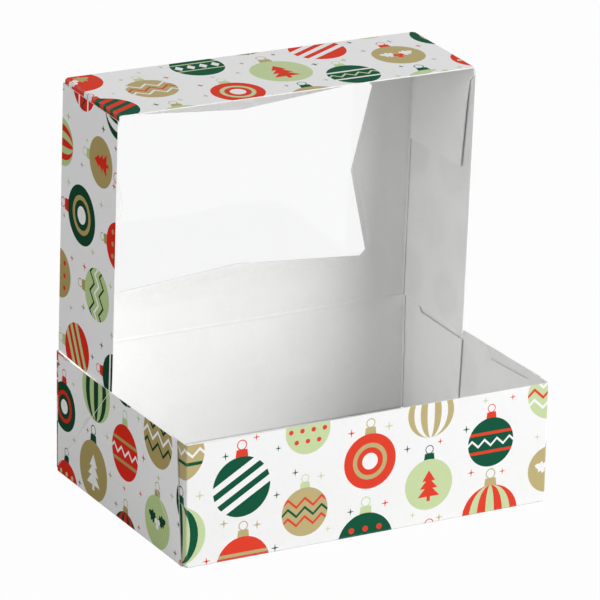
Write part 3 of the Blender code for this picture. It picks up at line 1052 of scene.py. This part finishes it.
half = CORNER_FOLD - BEFORE_BEND
corners = [(-half, -CREASE_HALF), (half, -CREASE_HALF), (half, CREASE_HALF), (-half, CREASE_HALF)]
heights = [CREASE_HALF * i / HINGE_STEPS for i in range(1 - HINGE_STEPS, HINGE_STEPS)]
pressed = [((-half, v), (half, v)) for v in heights]
hinge = board_piece(
    "lid_crease", None, [corners], across_hinge, Matrix(), AS_LID, lid_print, pressed, seen=0.1,
)
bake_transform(hinge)


# The window film: a thin clear sheet on the inside of the lid, glued down round the opening. It
# is held flat on the board there, and over the opening it mirrors and dulls the room a little.

FILM = 0.0001
FILM_MARGIN = 0.0100
FILM_TONE = (0.980, 0.981, 0.982, 1)
GLOSS_SIDEWAYS = 0.9
GLOSS_AHEAD = 0.035
GLOSS_ON_BOARD = 0.3

film, tree, shader = new_finish("window_film")
tree.nodes.remove(shader)
over_window = node_in(tree, "ShaderNodeAttribute", attribute_name="over_window")
dulled = node_in(tree, "ShaderNodeMix", data_type="RGBA")
dulled.inputs["A"].default_value = WHITE
dulled.inputs["B"].default_value = FILM_TONE
clear = node_in(tree, "ShaderNodeBsdfTransparent")
shine = node_in(tree, "ShaderNodeBsdfGlossy")
shine.inputs["Color"].default_value = WHITE
shine.inputs["Roughness"].default_value = 0.06
place = node_in(tree, "ShaderNodeTexCoord")
waves = node_in(tree, "ShaderNodeTexNoise")
waves.inputs["Scale"].default_value = 18
waves.inputs["Detail"].default_value = 1
bump = node_in(tree, "ShaderNodeBump")
bump.inputs["Strength"].default_value = 0.3
bump.inputs["Distance"].default_value = 0.002
grazing = node_in(tree, "ShaderNodeLayerWeight")
grazing.inputs["Blend"].default_value = 0.5
steep = node_in(tree, "ShaderNodeMath", operation="POWER")
steep.inputs[1].default_value = 5
gloss = node_in(tree, "ShaderNodeMath", operation="MULTIPLY_ADD")
gloss.inputs[1].default_value = GLOSS_SIDEWAYS
gloss.inputs[2].default_value = GLOSS_AHEAD
loose = node_in(tree, "ShaderNodeMapRange")
loose.inputs["To Min"].default_value = GLOSS_ON_BOARD
held = node_in(tree, "ShaderNodeMath", operation="MULTIPLY")
mirrored = node_in(tree, "ShaderNodeMixShader")
tree.links.new(over_window.outputs["Fac"], dulled.inputs["Factor"])
tree.links.new(dulled.outputs["Result"], clear.inputs["Color"])
tree.links.new(place.outputs["Object"], waves.inputs["Vector"])
tree.links.new(waves.outputs["Fac"], bump.inputs["Height"])
tree.links.new(bump.outputs["Normal"], shine.inputs["Normal"])
tree.links.new(grazing.outputs["Facing"], steep.inputs[0])
tree.links.new(steep.outputs[0], gloss.inputs[0])
tree.links.new(over_window.outputs["Fac"], loose.inputs["Value"])
tree.links.new(gloss.outputs[0], held.inputs[0])
tree.links.new(loose.outputs["Result"], held.inputs[1])
tree.links.new(held.outputs[0], mirrored.inputs[0])
tree.links.new(clear.outputs[0], mirrored.inputs[1])
tree.links.new(shine.outputs[0], mirrored.inputs[2])
tree.links.new(mirrored.outputs[0], tree.nodes["Material Output"].inputs["Surface"])

film_half, film_tall = window_half + FILM_MARGIN, window_tall + FILM_MARGIN
low, top = window_middle - film_tall, window_middle + film_tall
corners = [(-film_half, low), (film_half, low), (film_half, top), (-film_half, top)]
outline = rounded(corners, CUT_ROUND)
points = [Vector(point) for point in outline + window]
loops = [list(range(len(outline))), list(range(len(outline), len(points)))]
cut = delaunay_2d_cdt(points, [], loops, INSIDE, ONE_POINT, True)
stand = standing(Vector(), X, Z, lid_frame)
places, corners, over = [], [], []
for depth, way in ((BOARD / 2 + GAP, 1), (BOARD / 2 + GAP + FILM, -1)):
    first = len(places)
    places += [stand @ Vector((u, v, depth)) for u, v in cut[0]]
    for triangle, found in zip(cut[2], cut[5]):
        corners.append([first + i for i in triangle[::-way]])
        over.append(1.0 if 1 in found else 0.0)
mesh = bpy.data.meshes.new("window_film_sheet")
mesh.from_pydata(places, [], corners)
mesh.attributes.new("over_window", "FLOAT", "FACE").data.foreach_set("value", over)
mesh.materials.append(film)
film_sheet = bpy.data.objects.new("window_film_sheet", mesh)
scene.collection.objects.link(film_sheet)
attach(film_sheet, "lid")
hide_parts("window_film")


# The glue: thin dried patches of white glue between flap and side wall at each corner of the base
# and the lid, and a ring of it under the film. The solids are thin enough to show as they are.

GLUE_WHITE = (0.87, 0.87, 0.855)

dried_glue, tree, shader = new_finish("dried_glue")
milky = shaded(tree, plain_colour(tree, GLUE_WHITE), cloud(tree, size=0.0015, low=0.97, high=1.02))
tree.links.new(milky, shader.inputs["Base Color"])
tree.links.new(cloud(tree, size=0.002, low=0.30, high=0.55), shader.inputs["Roughness"])
tree.links.new(fibres(tree, fine=600, rise=0.00004), shader.inputs["Normal"])
for name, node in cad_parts.items():
    if "glue" in name:
        node.data.materials.clear()
        node.data.materials.append(dried_glue)
